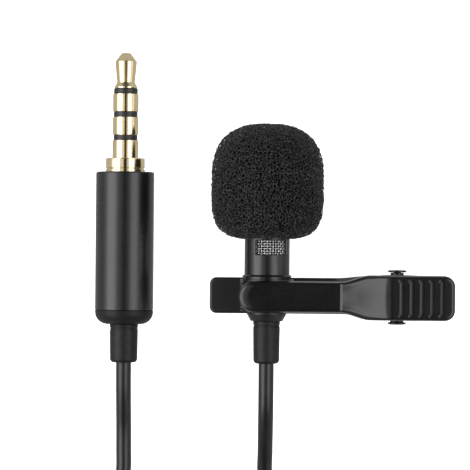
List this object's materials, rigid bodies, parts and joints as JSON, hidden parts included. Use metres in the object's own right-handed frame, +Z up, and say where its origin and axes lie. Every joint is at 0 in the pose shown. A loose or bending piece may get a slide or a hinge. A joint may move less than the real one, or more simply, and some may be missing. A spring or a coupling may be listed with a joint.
{
  "type": "lavalier microphone",
  "caption": "Clip-on lavalier microphone with a foam windscreen, a sprung swivelling tie clip, a thin coiled lead and a four-pole 3.5 mm plug.",
  "frame": {"origin": "on the table, under the middle of the microphone and its clip, measured without the lead and plug", "axes": "+Z up from the table, +Y along the microphone's axis towards the foam, +X along the clip towards its grip"},
  "size_m": [0.0516, 0.0968, 0.0151],
  "materials": {
    "anodised": "black anodised, satin, fine turned grain",
    "clip_plastic": "moulded black plastic, semi-gloss",
    "cap_plastic": "moulded black plastic, glossy rounded edge",
    "insulator": "black insulating rings between the contacts",
    "rubber": "moulded black strain relief rubber, satin",
    "cable_jacket": "smooth black cable jacket, satin",
    "tie_plastic": "flat black tie",
    "foam": "open-cell black foam",
    "gold": "gold plated, polished",
    "steel": "bright steel",
    "dark_steel": "blackened steel",
    "board": "green circuit board",
    "film": "metallised film",
    "wire_red": "red insulation",
    "wire_white": "white insulation",
    "wire_blue": "blue insulation"
  },
  "bodies": {
    "microphone": {"mic_barrel": "anodised", "mesh_grille": "steel", "barrel_cap": "anodised", "capsule_can": "steel", "capsule_gasket": "rubber", "capsule_board": "board", "capsule_backplate": "gold", "capsule_diaphragm": "film", "mic_wire_1": "wire_red", "mic_wire_2": "wire_white", "tail_nut": "anodised", "mic_boot": "rubber", "mic_cord": "cable_jacket", "cord_coil": "cable_jacket", "coil_tie": "tie_plastic", "plug_cord": "cable_jacket", "plug_boot": "rubber", "plug_end_cap": "cap_plastic", "plug_barrel": "anodised", "inner_mould": "rubber", "plug_wire_1": "wire_red", "plug_wire_2": "wire_white", "plug_wire_3": "wire_blue", "jack_tip": "gold", "insulator_1": "insulator", "jack_ring_1": "gold", "insulator_2": "insulator", "jack_ring_2": "gold", "insulator_3": "insulator", "jack_sleeve": "gold"},
    "windscreen": {"windscreen_foam": "foam"},
    "sleeve": {"grip_sleeve": "clip_plastic"},
    "outer_lever": {"outer_lever": "clip_plastic", "pivot_pin": "dark_steel", "pin_washer": "dark_steel", "torsion_spring": "steel"},
    "inner_lever": {"inner_lever": "clip_plastic"}
  },
  "joints": [
    {"name": "windscreen_slide", "type": "slide", "parent": "microphone", "child": "windscreen", "axis": [0, 1, 0], "range_m": [0, 0.0105]},
    {"name": "sleeve_slide", "type": "slide", "parent": "microphone", "child": "sleeve", "axis": [0, 1, 0], "range_m": [0, 0.0042]},
    {"name": "clip_swivel", "type": "hinge", "parent": "sleeve", "child": "outer_lever", "pos_m": [-0.00834, -0.00982, 0.0076], "axis": [0, 1, 0], "range_deg": [-150, 120]},
    {"name": "jaw_hinge", "type": "hinge", "parent": "outer_lever", "child": "inner_lever", "pos_m": [0.00896, -0.00982, 0.0076], "axis": [0, -1, 0], "range_deg": [0, 24], "stiffness_Nm_per_rad": 0.05, "springref_deg": -34.38, "deforming": ["torsion_spring"]}
  ]
}
